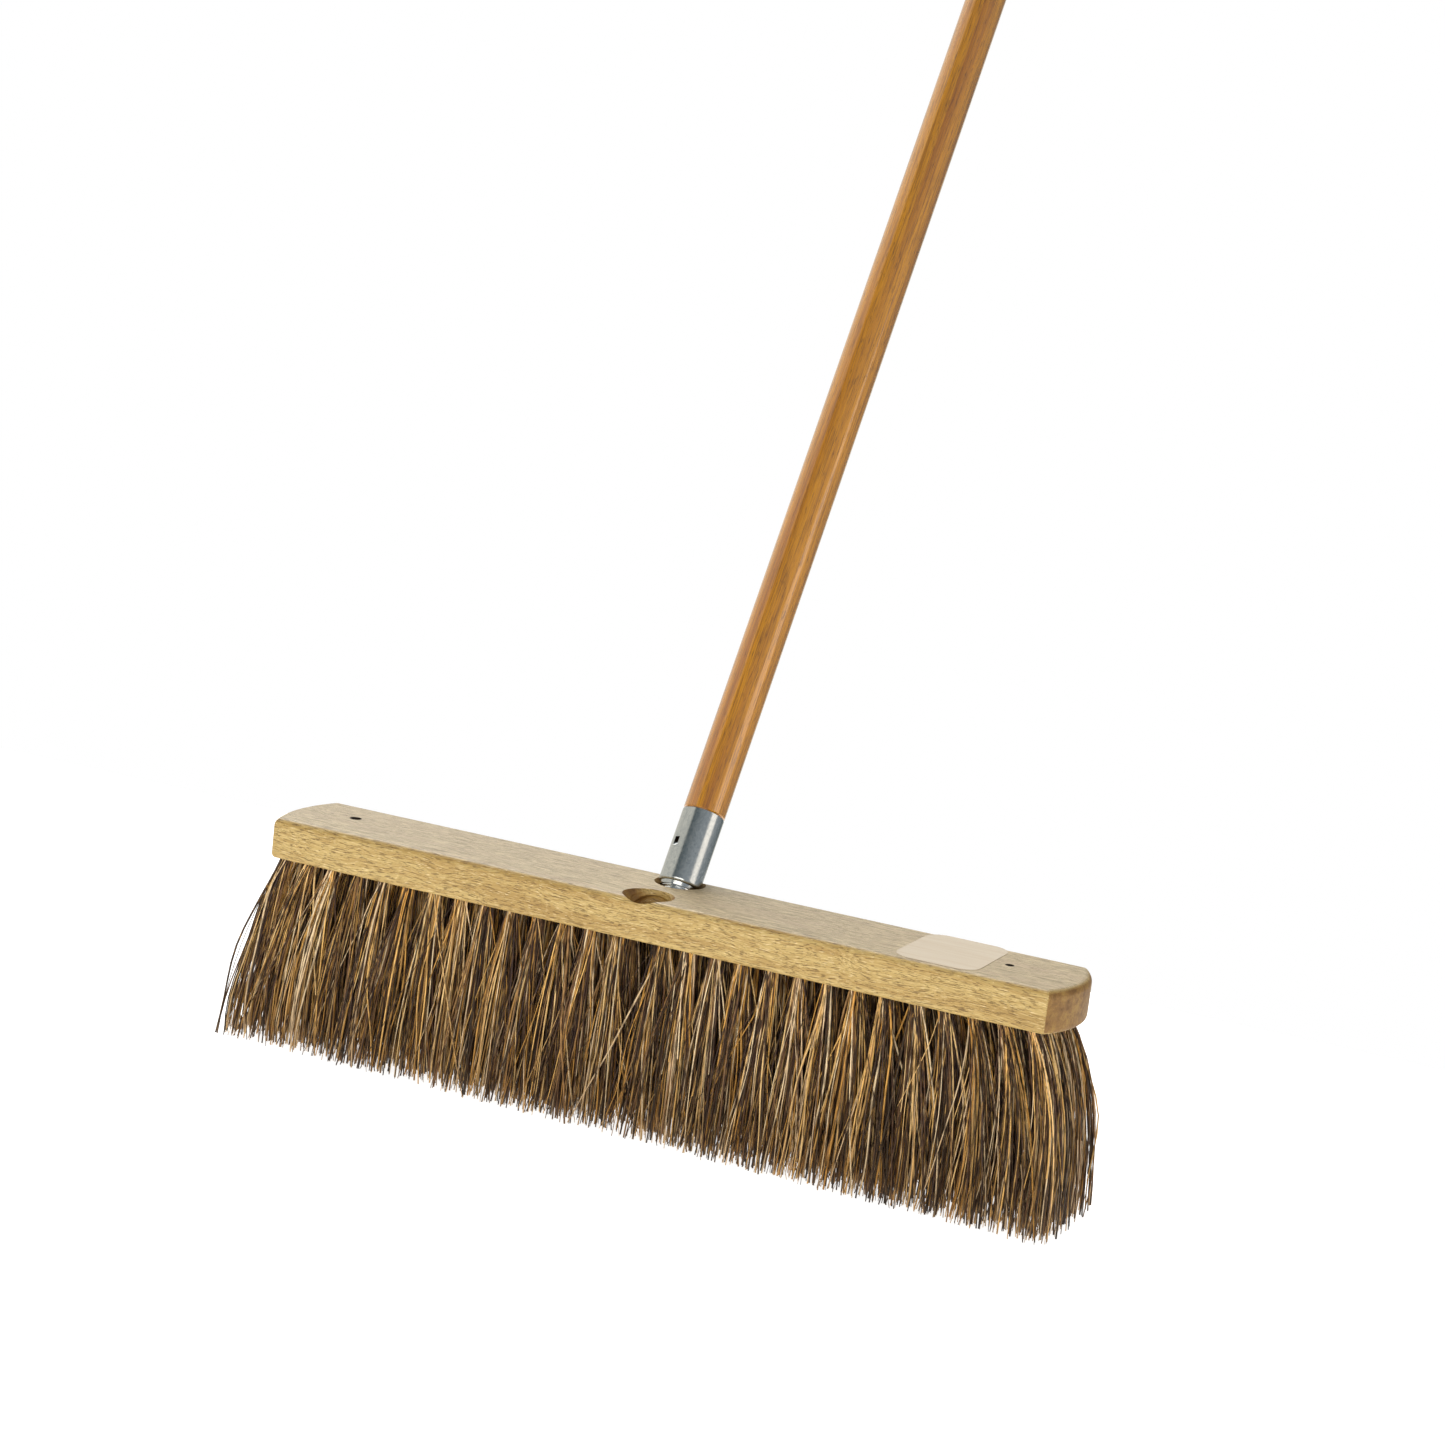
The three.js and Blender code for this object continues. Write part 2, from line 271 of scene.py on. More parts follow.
class Nodes:
    """A node tree. Each method adds a node, and most give back its output."""

    def __init__(self, tree):
        self.tree = tree

    def feed(self, socket, value):
        if isinstance(value, bpy.types.NodeSocket):
            self.tree.links.new(value, socket)
        else:
            socket.default_value = value

    def add(self, kind, inputs, output=0, **settings):
        node = self.tree.nodes.new(kind)
        for key, value in settings.items():
            setattr(node, key, value)
        for key, value in inputs.items():
            self.feed(node.inputs[key], value)
        return node.outputs[output]

    def spread(self, value, low, high, start=0, end=1):
        """value's low..high as start..end, and no further."""
        values = {"Value": value, "From Min": low, "From Max": high}
        values.update({"To Min": start, "To Max": end})
        return self.add("ShaderNodeMapRange", values, "Result")

    def math(self, operation, first, second=0.0):
        return self.add("ShaderNodeMath", {0: first, 1: second}, operation=operation)

    def ramp(self, value, *stops):
        """A colour for each value, from (position, colour) stops."""
        node = self.tree.nodes.new("ShaderNodeValToRGB")
        while len(node.color_ramp.elements) < len(stops):
            node.color_ramp.elements.new(1)
        for element, (position, shade) in zip(node.color_ramp.elements, stops):
            element.position = position
            element.color = shade
        self.feed(node.inputs["Fac"], value)
        return node.outputs["Color"]

    def mix(self, share, first, second, blend="MIX"):
        node = self.tree.nodes.new("ShaderNodeMix")
        node.data_type = "RGBA"
        node.blend_type = blend
        sockets = {socket.identifier: socket for socket in node.inputs}
        self.feed(sockets["Factor_Float"], share)
        self.feed(sockets["A_Color"], first)
        self.feed(sockets["B_Color"], second)
        return next(socket for socket in node.outputs if socket.identifier == "Result_Color")


class Look(Nodes):
    """A material."""

    def __init__(self, name, shader_values):
        self.material = bpy.data.materials.new(name)
        self.material.use_nodes = True
        super().__init__(self.material.node_tree)
        self.shader = self.tree.nodes["Principled BSDF"]
        for socket, value in shader_values.items():
            self.shader.inputs[socket].default_value = value

    def shade(self, name, value):
        self.feed(self.shader.inputs[name], value)

    def bump(self, height, distance):
        values = {"Height": height, "Distance": distance, "Strength": 1.0}
        self.shade("Normal", self.add("ShaderNodeBump", values, "Normal"))

    def here(self):
        return self.add("ShaderNodeTexCoord", {}, "Object")

    def grain(self, length, width, along=0, here=None):
        """Coordinates in units of length along the grain's axis and width across it."""
        scale = [1 / width] * 3
        scale[along] = 1 / length
        return self.add("ShaderNodeMapping", {"Vector": here or self.here(), "Scale": scale})

    def noise(self, vector, detail=4, roughness=0.55, distortion=0):
        values = {"Vector": vector, "Scale": 1, "Detail": detail}
        values.update({"Roughness": roughness, "Distortion": distortion})
        return self.add("ShaderNodeTexNoise", values, "Fac")

    def wandering(self, length, width, amount):
        """Object coordinates that drift sideways, so that grain drawn on them is wavy."""
        values = {"Vector": self.grain(length, width), "Scale": 1, "Detail": 2}
        drift = self.add("ShaderNodeTexNoise", values, "Color")
        centred = self.add("ShaderNodeVectorMath", {0: drift, 1: (0.5, 0.5, 0.5)}, operation="SUBTRACT")
        push = {0: centred, 1: (0, amount, amount)}
        sideways = self.add("ShaderNodeVectorMath", push, operation="MULTIPLY")
        return self.add("ShaderNodeVectorMath", {0: self.here(), 1: sideways}, operation="ADD")

    def near(self, x, y, radius, soft):
        """1 close to a line along Z, and 0 beyond the radius."""
        offset = {0: self.here(), 1: (x, y, 0)}
        moved = self.add("ShaderNodeVectorMath", offset, operation="SUBTRACT")
        flat = self.add("ShaderNodeVectorMath", {0: moved, 1: (1, 1, 0)}, operation="MULTIPLY")
        distance = self.add("ShaderNodeVectorMath", {0: flat}, "Value", operation="LENGTH")
        return self.spread(distance, radius, radius - soft)


def facing(look, axis):
    """How much a surface faces along one of its own axes, either way."""
    normal = look.add("ShaderNodeTexCoord", {}, "Normal")
    part = look.add("ShaderNodeSeparateXYZ", {"Vector": normal}, axis)
    return look.math("ABSOLUTE", part)


def block_wood():
    """Pale hardwood: wavy streaks, short dark and light flecks, a paler, greyer top face whose tone is
    painted sheen, brown end grain, and small holes painted near-black as shade.
    """
    look = Look("block_wood", {"Specular IOR Level": 0.5, "Coat Weight": 0.2, "Coat Roughness": 0.35})
    wavy = look.wandering(55 * MM, 25 * MM, 9 * MM)
    bands = look.noise(look.grain(130 * MM, 5 * MM, here=wavy), detail=5, distortion=0.3)
    base = look.ramp(
        bands,
        (0.30, colour("a88543")),
        (0.45, colour("bb9a57")),
        (0.58, colour("c9ac6a")),
        (0.75, colour("b89650")),
    )
    streaks = look.noise(look.grain(20 * MM, 0.6 * MM, here=wavy), detail=4, roughness=0.65)
    base = look.mix(look.spread(streaks, 0.44, 0.68, 0, 0.6), base, colour("957334"))
    base = look.mix(look.spread(streaks, 0.46, 0.3, 0, 0.5), base, colour("d6be80"))

    flecks = look.noise(look.grain(5 * MM, 0.4 * MM, here=wavy), detail=2)
    fleck_depth = look.spread(flecks, 0.58, 0.64)
    base = look.mix(look.math("MULTIPLY", fleck_depth, 0.8), base, colour("6b4c1c"))
    base = look.mix(look.spread(flecks, 0.38, 0.30, 0, 0.7), base, colour("f0dcaa"))

    # painted sheen: where the block faces up, its grain gets a paler, greyer colour that stands in for
    # the pale room's reflection at a grazing angle
    top = look.mix(look.spread(streaks, 0.38, 0.64), colour("dac69e"), colour("8a785c"))
    top = look.mix(look.spread(bands, 0.45, 0.65, 0, 0.6), top, colour("bda488"))
    top = look.mix(look.math("MULTIPLY", fleck_depth, 0.6), top, colour("6f5f48"))
    base = look.mix(look.spread(facing(look, "Z"), 0.8, 0.98, 0, 0.85), base, top)

    end_mottle = look.noise(look.grain(6 * MM, 5 * MM), detail=6, roughness=0.65)
    end = look.ramp(
        end_mottle,
        (0.3, colour("6b4612")),
        (0.5, colour("8d662c")),
        (0.7, colour("ab853c")),
    )
    end_pores = look.noise(look.grain(2 * MM, 0.4 * MM), detail=2)
    end = look.mix(look.spread(end_pores, 0.56, 0.68, 0, 0.6), end, colour("4d3010"))
    end_share = look.spread(facing(look, "X"), 0.45, 0.75)
    base = look.mix(end_share, base, end)

    # painted shade: each small hole's walls and bottom are near-black, fading out over a narrow rim on
    # the top face
    for x, y, radius in SMALL_HOLES:
        hole_shade = look.near(x, y, radius + HOLE_SHADE_SPREAD, HOLE_SHADE_SPREAD)
        base = look.mix(hole_shade, base, colour("24160a"))
    scuffed = look.near(*SCUFF_CENTRE, SCUFF_RADIUS, SCUFF_SOFTNESS)
    scuffs = look.spread(look.noise(look.grain(2.5 * MM, 1.5 * MM), detail=3), 0.56, 0.62, 0, 0.8)
    base = look.mix(look.math("MULTIPLY", scuffed, scuffs), base, colour("7d5230"))

    look.shade("Base Color", base)
    face_roughness = look.spread(streaks, 0.3, 0.7, 0.42, 0.58)
    look.shade("Roughness", look.math("ADD", face_roughness, look.math("MULTIPLY", end_share, 0.25)))
    height = look.math("SUBTRACT", look.math("MULTIPLY", streaks, 0.5), fleck_depth)
    look.bump(height, 0.12 * MM)
    return look.material


def handle_wood():
    """Orange-brown lacquered wood with darker streaks along it, under a clear gloss. Below the surface
    inside the sleeve, where the notch behind the stake's window shows, it is painted near-black as
    shade.
    """
    look = Look("handle_wood", {
        "IOR": 1.6,
        "Specular IOR Level": 1.0,
        "Specular Tint": colour("ffc48a"),
        "Coat Weight": 1.0,
        "Coat Roughness": 0.1,
        "Coat IOR": 1.75,
    })
    bands = look.noise(look.grain(300 * MM, 6 * MM, along=2), detail=4, distortion=0.3)
    base = look.ramp(
        bands,
        (0.3, colour("9c5a0c")),
        (0.45, colour("bb780e")),
        (0.6, colour("cf8c16")),
        (0.8, colour("b37210")),
    )
    streaks = look.noise(look.grain(34 * MM, 0.7 * MM, along=2), detail=4, roughness=0.7)
    base = look.mix(look.spread(streaks, 0.48, 0.62, 0, 0.7), base, colour("70400a"))
    pores = look.noise(look.grain(7 * MM, 0.45 * MM, along=2), detail=1.5)
    pore_depth = look.spread(pores, 0.6, 0.7)
    base = look.mix(look.math("MULTIPLY", pore_depth, 0.7), base, colour("4a2606"))
    # painted shade: the wood below the surface inside the sleeve, seen in the notch behind the stake's
    # window, is near-black
    height = look.add("ShaderNodeSeparateXYZ", {"Vector": look.here()}, "Z")
    in_sleeve = look.spread(height, SLEEVE_TOP, SLEEVE_TOP - MM)
    under_surface = look.near(0, 0, HANDLE_RADIUS - 0.2 * MM, 0.6 * MM)
    base = look.mix(look.math("MULTIPLY", in_sleeve, under_surface), base, colour("1c0f06"))
    look.shade("Base Color", base)
    look.shade("Roughness", look.spread(streaks, 0.3, 0.7, 0.24, 0.36))
    look.bump(look.math("SUBTRACT", streaks, pore_depth), 0.03 * MM)
    return look.material


def galvanised_steel():
    """Grey zinc-coated sheet with a fine spangle, small dull specks and soft smudges."""
    look = Look("galvanised_steel", {"Metallic": 1.0})
    spangle = look.add(
        "ShaderNodeTexVoronoi",
        {"Vector": look.grain(1.6 * MM, 1.1 * MM, along=2), "Scale": 1, "Randomness": 1},
        "Color",
    )
    cell = look.add("ShaderNodeSeparateColor", {"Color": spangle}, "Red")
    smudge = look.noise(look.grain(14 * MM, 6 * MM, along=2), detail=4)
    speck = look.noise(look.grain(0.5 * MM, 0.4 * MM, along=2), detail=2)
    base = look.mix(cell, colour("b3b8ba"), colour("c2c5c5"))
    base = look.mix(look.spread(smudge, 0.45, 0.75, 0, 0.25), base, colour("9ba0a3"))
    base = look.mix(look.spread(speck, 0.56, 0.68, 0, 0.5), base, colour("7d858a"))
    look.shade("Base Color", base)
    rough = look.math("ADD", look.spread(cell, 0, 1, 0.17, 0.2), look.spread(smudge, 0.4, 0.7, 0, 0.04))
    look.shade("Roughness", rough)
    look.bump(speck, 0.002 * MM)
    return look.material


def bright_zinc():
    """Bright plated steel with faint turning marks."""
    look = Look("bright_zinc", {"Metallic": 1.0})
    marks = look.noise(look.grain(0.12 * MM, 30 * MM, along=2), detail=3)
    stain = look.noise(look.grain(5 * MM, 5 * MM, along=2), detail=3)
    base = look.mix(look.spread(stain, 0.5, 0.75, 0, 0.5), colour("dfe1e2"), colour("a9a49a"))
    look.shade("Base Color", base)
    look.shade("Roughness", look.spread(stain, 0.3, 0.7, 0.12, 0.25))
    look.bump(marks, 0.006 * MM)
    return look.material


def staple_wire():
    look = Look("staple_wire", {"Metallic": 1.0})
    dull = look.noise(look.grain(0.8 * MM, 0.8 * MM), detail=3)
    look.shade("Base Color", look.mix(dull, colour("8a8784"), colour("b5b2ac")))
    look.shade("Roughness", look.spread(dull, 0.3, 0.7, 0.3, 0.5))
    return look.material


def bristle_fibre():
    """Stiff plant fibre: each strand has its own colour, with darker bands and fine ridges along it,
    and painted shade that darkens it towards its lower end.
    """
    look = Look("bristle_fibre", {"Specular IOR Level": 0.5, "Specular Tint": colour("ffe0b4")})
    own = look.add("ShaderNodeVertexColor", {}, "Color", layer_name="strand")
    bands = look.noise(look.grain(16 * MM, 1.2 * MM, along=2), detail=4, roughness=0.6)
    base = look.mix(look.spread(bands, 0.38, 0.52, 0.75, 0), own, colour("4c3a30"), blend="MULTIPLY")
    base = look.mix(look.spread(bands, 0.56, 0.7, 0, 0.45), base, colour("e6b264"))
    height = look.add("ShaderNodeSeparateXYZ", {"Vector": look.here()}, "Z")
    # painted shade: darker towards the tips, from 60 mm above the floor down, against the light from
    # the glowing floor
    low_painted_shade = look.spread(height, 5 * MM, 60 * MM, 0.55, 0)
    base = look.mix(low_painted_shade, base, colour("a89684"), blend="MULTIPLY")
    look.shade("Base Color", base)
    ridges = look.noise(look.grain(6 * MM, 0.15 * MM, along=2), detail=2)
    look.shade("Roughness", look.spread(ridges, 0.3, 0.7, 0.3, 0.48))
    look.bump(ridges, 0.03 * MM)
    return look.material


def label_paper():
    """A plain pale sticker, a little creased, with the wood's streaks showing faintly in it."""
    look = Look("label_paper", {"Coat Weight": 0.4, "Coat Roughness": 0.2, "Roughness": 0.5})
    fibres = look.noise(look.grain(0.8 * MM, 0.5 * MM), detail=4)
    wood = look.noise(look.grain(40 * MM, 3 * MM), detail=3)
    base = look.mix(look.spread(wood, 0.3, 0.7), colour("d5c5ae"), colour("ccb699"))
    base = look.mix(look.spread(fibres, 0.4, 0.7, 0, 0.25), base, colour("ddd1be"))
    look.shade("Base Color", base)
    look.bump(look.noise(look.grain(9 * MM, 7 * MM), detail=2), 0.15 * MM)
    return look.material


# --- Block ---
def block_outline(inset, z):
    """One level of the block: straight sides, bowed ends, and a small round at each corner."""
    corner_round = CORNER_ROUND * (1 - inset / TOP_ROUND / 2)
    middle_y = HALF_WIDTH - inset - corner_round
    points = []
    for side, (reach, bow) in ENDS.items():
        end_radius = (HALF_WIDTH ** 2 + bow ** 2) / (2 * bow)
        centre = reach - end_radius
        radius = end_radius - inset
        middle_x = math.sqrt((radius - corner_round) ** 2 - middle_y ** 2)
        meets = math.atan2(middle_y, middle_x)
        quarter = []
        for i in range(END_STEPS):
            angle = meets * i / END_STEPS
            quarter.append((centre + radius * math.cos(angle), radius * math.sin(angle)))
        for i in range(CORNER_STEPS + 1):
            angle = meets + (math.pi / 2 - meets) * i / CORNER_STEPS
            x = centre + middle_x + corner_round * math.cos(angle)
            quarter.append((x, middle_y + corner_round * math.sin(angle)))
        end = [(x, -y) for x, y in quarter[:0:-1]] + quarter
        points += [(side * x, side * y, z) for x, y in end]
    return points


def block_blank():
    rings = []
    for i in range(BOTTOM_STEPS + 1):
        angle = math.pi / 2 * i / BOTTOM_STEPS
        inset = BOTTOM_ROUND * (1 - math.sin(angle))
        rings.append(block_outline(inset, UNDERSIDE + BOTTOM_ROUND * (1 - math.cos(angle))))
    for i in range(TOP_STEPS + 1):
        angle = math.pi / 2 * i / TOP_STEPS
        inset = TOP_ROUND * (1 - math.cos(angle))
        rings.append(block_outline(inset, BLOCK_TOP - TOP_ROUND * (1 - math.sin(angle))))
    return loft("broom_block", rings)


def groove_radius(angle, height):
    """The wooden thread that a handle's tip screws into: rounded grooves between narrow ridges.
    The grooves fade out within a quarter pitch of the bore's bottom."""
    turns = height / THREAD_PITCH - angle / (2 * math.pi)
    groove = 0.5 - 0.5 * math.cos(2 * math.pi * turns)
    run_out = min((height + BORE_DEPTH) / (THREAD_PITCH / 4), 1)
    return BORE_RADIUS + GROOVE_DEPTH * run_out * groove ** GROOVE_BREADTH


def cut_handle_hole(block, side):
    """A tilted threaded bore, and the upright countersink whose slope matches the handle's tilt."""
    angles = [2 * math.pi * i / ROUND_SIDES for i in range(ROUND_SIDES)]
    rings = []
    for i in range(BORE_STEPS + 1):
        height = -BORE_DEPTH + (BORE_TOP + BORE_DEPTH) * i / BORE_STEPS
        radii = [groove_radius(angle, height) for angle in angles]
        rings.append([(r * math.cos(a), r * math.sin(a), height) for r, a in zip(radii, angles)])
    bore = loft("bore", rings)
    bore.matrix_basis = handle_matrix(side)
    cut(block, bore)

    tilt = handle_matrix(1).to_euler().x
    slope = math.tan(abs(tilt))
    mouth_radius = (HANDLE_RADIUS + GAP) / math.cos(tilt)
    floor_radius = mouth_radius - MOUTH_DEPTH * slope
    centre = handle_matrix(side).translation.xy
    mouth = loft("mouth", [
        circle(floor_radius, BLOCK_TOP - MOUTH_DEPTH, ROUND_SIDES, centre),
        circle(mouth_radius + OVERSHOOT * slope, BLOCK_TOP + OVERSHOOT, ROUND_SIDES, centre),
    ])
    cut(block, mouth)


def column_distance(number):
    """How far a column of tufts is from the middle of the drilled pattern."""
    return MIDDLE_GAP / 2 + (number - 1) * COLUMN_PITCH


def column_x(side, number):
    return DRILL_OFFSET + side * column_distance(number)


def tuft_depth(number):
    return MIDDLE_TUFT_HOLE_DEPTH if number == 1 else TUFT_HOLE_DEPTH


def tuft_places():
    """(column number, x, y) of every tuft: the left side's, then the right side's, each from the
    middle outwards."""
    for side in (-1, 1):
        for number in range(1, COLUMNS_PER_SIDE + 1):
            for y in ROW_CENTRES:
                yield number, column_x(side, number), y


def round_hole(x, y, low, high, radius, sides):
    return loft("hole", [circle(radius, z, sides, (x, y)) for z in (low, high)])


def make_block(material):
    block = block_blank()
    cut_handle_hole(block, 1)
    cut_handle_hole(block, -1)
    holes = []
    for number, x, y in tuft_places():
        top = UNDERSIDE + tuft_depth(number)
        holes.append(round_hole(x, y, UNDERSIDE - OVERSHOOT, top, TUFT_HOLE_RADIUS, TUFT_HOLE_SIDES))
    for x, y, radius in SMALL_HOLES:
        bottom = BLOCK_TOP - SMALL_HOLE_DEPTH
        holes.append(round_hole(x, y, bottom, BLOCK_TOP + OVERSHOOT, radius, SMALL_HOLE_SIDES))
    cut(block, join("holes", holes))
    smooth(block)
    show(block, material, "head", "block_wood", "block")


# --- Label ---
def make_label(material):
    """A thin flat sticker with rounded corners, whose back edge overhangs the block's rounded edge."""
    half_x, half_y = (size / 2 - LABEL_CORNER for size in LABEL_SIZE)
    outline = []
    for corner, (across, deep) in enumerate([(1, 1), (-1, 1), (-1, -1), (1, -1)]):
        for i in range(LABEL_CORNER_STEPS + 1):
            angle = math.pi / 2 * (corner + i / LABEL_CORNER_STEPS)
            x = LABEL_CENTRE[0] + across * half_x + LABEL_CORNER * math.cos(angle)
            outline.append((x, LABEL_CENTRE[1] + deep * half_y + LABEL_CORNER * math.sin(angle)))
    rings = [
        [(x, y, BLOCK_TOP + height) for x, y in outline]
        for height in (LABEL_LIFT, LABEL_LIFT + LABEL_THICKNESS)
    ]
    label = loft("label", rings)
    smooth(label)
    show(label, material, "head", "block_wood")


# --- Bristles ---
DARK = [colour(code) for code in ("3a2822", "281d1c", "46302a", "33262a")]
BROWN = [colour(code) for code in ("947048", "7a5a42", "a67e48")]
GOLDEN = [colour(code) for code in ("efbf72", "f4cf90", "dea654", "f2c684")]
CREAM = [colour(code) for code in ("fbe2b8", "f6d8ae")]
FIBRE_KINDS = [(DARK, 0.45), (BROWN, 0.17), (GOLDEN, 0.26), (CREAM, 0.12)]  # shades and shares
STRENGTH = (0.75, 1.35)  # a fibre's brightness, as a share of its shade's
ROOT_INSET = 0.7 * MM  # of the outermost fibres from the wall of their hole
ROOT_SHARE = 0.8  # of the hole's depth that the fibres reach up into
CLUMPS_PER_TUFT = 7
CLUMP_LEAN = 3 * MM
FAN = 1.7  # the tips' extra distance from their tuft's middle, as a share of the roots'
SPREADS = [2 * MM, 8 * MM, 20 * MM]  # how far fibres wander from their clump
SPREAD_SHARES = [0.46, 0.38, 0.16]
LEAN_LIMIT = 9 * MM  # of a fibre's own lean, towards the front or the back
BOW = 0.9 * MM
WAVE = 0.5 * MM
HALF_WAVES = 3
KINKS = [MM, 2.5 * MM]
KINK_PLACES = (0.15, 0.85)  # shares of the way down
SPLAY_SHARES = (0.7, 1.05)
RAGGEDNESS = 1.5 * MM  # of the trimmed tips
SHORT_SHARE = 0.08  # of the fibres, which end above the rest
SHORT_LENGTHS = (0.5, 0.95)  # shares of the length below the block
THINNEST_RADIUS = 0.25 * MM
EXTRA_RADIUS = 0.45 * MM
EXTRA_RADIUS_POWER = 1.5  # above 1 makes thick fibres rarer than thin ones
TAPER = (1.05, 0.75)  # shares of a fibre's radius at its root and its tip
UNEVENNESS = (0.9, 1.1)
FLATNESS = (0.6, 1)
LOWEST_TIP = 0.1 * MM


def fibre_shades(random, count):
    """Each fibre's own colour."""
    kinds = random.choice(len(FIBRE_KINDS), size=count, p=[share for _, share in FIBRE_KINDS])
    shades = [FIBRE_KINDS[kind][0][random.integers(len(FIBRE_KINDS[kind][0]))] for kind in kinds]
    shades = np.array(shades)[:, :3]
    strength = random.uniform(*STRENGTH, size=(count, 1))
    return shades * np.minimum(strength, 1 / shades.max(axis=1, keepdims=True))


def end_limited(sideways, x):
    """Keeps the fibres of a column near an end from straying out past it."""
    outward = math.copysign(1, x - DRILL_OFFSET)
    room = SPREAD_LIMIT + (column_distance(COLUMNS_PER_SIDE) - abs(x - DRILL_OFFSET))
    return outward * np.minimum(outward * sideways, room)


def fibre_lines(random, count, x, y, hole_depth):
    """Centre lines of one tuft's fibres, as (fibre, level, xyz), from inside the hole to the tips."""
    root_angle = random.uniform(0, 2 * math.pi, count)
    root_radius = (TUFT_HOLE_RADIUS - ROOT_INSET) * np.sqrt(random.uniform(0, 1, count))
    root = np.stack([root_radius * np.cos(root_angle), root_radius * np.sin(root_angle)], axis=1)

    clumps = random.normal(0, CLUMP_LEAN, size=(CLUMPS_PER_TUFT, 2))
    clump = random.integers(0, len(clumps), count)
    spread = random.choice(SPREADS, size=(count, 1), p=SPREAD_SHARES)
    lean = clumps[clump] + spread * random.normal(0, 1, size=(count, 2)) + FAN * root
    lean[:, 0] = end_limited(lean[:, 0], x)
    lean[:, 1] = np.clip(lean[:, 1], -LEAN_LIMIT, LEAN_LIMIT)
    bow = random.normal(0, BOW, size=(count, 2))
    wave = random.normal(0, WAVE, size=(count, 2))
    kink_at = random.uniform(*KINK_PLACES, size=(count, 1, 1))
    kink = random.uniform(-1, 1, size=(count, 1, 2)) * random.choice(KINKS, size=(count, 1, 1))

    off_middle = x - DRILL_OFFSET
    end_share = abs(off_middle) / column_distance(COLUMNS_PER_SIDE)
    end_lean = math.copysign(END_SPLAY * end_share ** END_SPLAY_POWER, off_middle)
    splay = np.array([end_lean, SIDE_SPLAY * y / ROW_CENTRES[-1]])
    splay = splay * random.uniform(*SPLAY_SHARES, size=(count, 1, 1))
    splay_curve = LEFT_SPLAY_CURVE if off_middle < 0 else RIGHT_SPLAY_CURVE
    trim = UNDERSIDE - np.abs(random.normal(0, RAGGEDNESS, count))
    short = random.uniform(0, 1, count) < SHORT_SHARE
    trim = np.where(short, trim * random.uniform(*SHORT_LENGTHS, count), trim)

    top = -ROOT_SHARE * hole_depth
    share = np.linspace(0, 1, FIBRE_LEVELS)[None, :, None]
    drop = top + (trim[:, None, None] - top) * share
    below = np.clip(drop / UNDERSIDE, 0, 1)
    flat = root[:, None, :] + lean[:, None, :] * below
    flat = flat + splay * (1 - (1 - below) ** splay_curve) + bow[:, None, :] * np.sin(math.pi * below)
    flat = flat + wave[:, None, :] * np.sin(HALF_WAVES * math.pi * below)
    flat = flat + kink * np.where(below < kink_at, below / kink_at, (1 - below) / (1 - kink_at))
    flat = flat + np.array([x, y])
    return np.concatenate([flat, UNDERSIDE - drop], axis=2)


def tubes(random, lines, radii):
    """Vertices and faces of a flattened closed tube round each line."""
    count, levels, _ = lines.shape
    start = random.uniform(0, math.pi, (count, 1))
    flatness = random.uniform(*FLATNESS, (count, 1))
    around = np.arange(FIBRE_SIDES) * 2 * math.pi / FIBRE_SIDES
    wide, thin = np.cos(around)[None, :], np.sin(around)[None, :] * flatness
    ring = np.stack([
        wide * np.cos(start) - thin * np.sin(start),
        wide * np.sin(start) + thin * np.cos(start),
        np.zeros((count, FIBRE_SIDES)),
    ], axis=2)
    points = lines[:, :, None, :] + radii[:, :, None, None] * ring[:, None, :, :]

    fibre = np.arange(count)[:, None, None] * levels * FIBRE_SIDES
    level = np.arange(levels - 1)[None, :, None] * FIBRE_SIDES
    side = np.arange(FIBRE_SIDES)[None, None, :]
    after = (side + 1) % FIBRE_SIDES
    a, b = fibre + level + side, fibre + level + after
    walls = np.stack([a, a + FIBRE_SIDES, b + FIBRE_SIDES, b], axis=3).reshape(-1, 4)
    first_ring = fibre[:, 0, :] + np.arange(FIBRE_SIDES)[None, :]
    last_ring = first_ring[:, ::-1] + (levels - 1) * FIBRE_SIDES
    return points.reshape(-1, 3), np.concatenate([walls, first_ring, last_ring])


def bristle_mesh(name, points, faces, shades):
    mesh = bpy.data.meshes.new(name)
    mesh.vertices.add(len(points))
    mesh.vertices.foreach_set("co", points.ravel())
    mesh.loops.add(faces.size)
    mesh.loops.foreach_set("vertex_index", faces.ravel())
    mesh.polygons.add(len(faces))
    mesh.polygons.foreach_set("loop_start", np.arange(len(faces)) * FIBRE_SIDES)
    mesh.update(calc_edges=True)
    mesh.validate()
    strand = mesh.color_attributes.new("strand", "FLOAT_COLOR", "POINT")
    strand.data.foreach_set("color", np.hstack([shades, np.ones((len(shades), 1))]).ravel())
    mesh.shade_smooth()
    return mesh


def make_bristle_column(name, node, tufts, seed, material):
    """All the fibres of one CAD node's tufts, which are (x, y, hole depth)."""
    random = np.random.default_rng(seed)
    lines = np.concatenate([
        fibre_lines(random, FIBRES_PER_TUFT, x, y, depth) for x, y, depth in tufts
    ])
    count = len(lines)
    shades = fibre_shades(random, count)
    extra = EXTRA_RADIUS * random.uniform(0, 1, (count, 1)) ** EXTRA_RADIUS_POWER
    taper = np.linspace(*TAPER, FIBRE_LEVELS)[None, :]
    uneven = random.uniform(*UNEVENNESS, (count, FIBRE_LEVELS))
    radii = (THINNEST_RADIUS + extra) * taper * uneven
    points, faces = tubes(random, lines, radii)
    points[:, 2] = np.maximum(points[:, 2], LOWEST_TIP)
    per_vertex = np.repeat(shades, FIBRE_LEVELS * FIBRE_SIDES, axis=0)
    piece = bpy.data.objects.new(name, bristle_mesh(name, points, faces, per_vertex))
    bpy.context.scene.collection.objects.link(piece)
    show(piece, material, "head", "bristle_fibre", node)


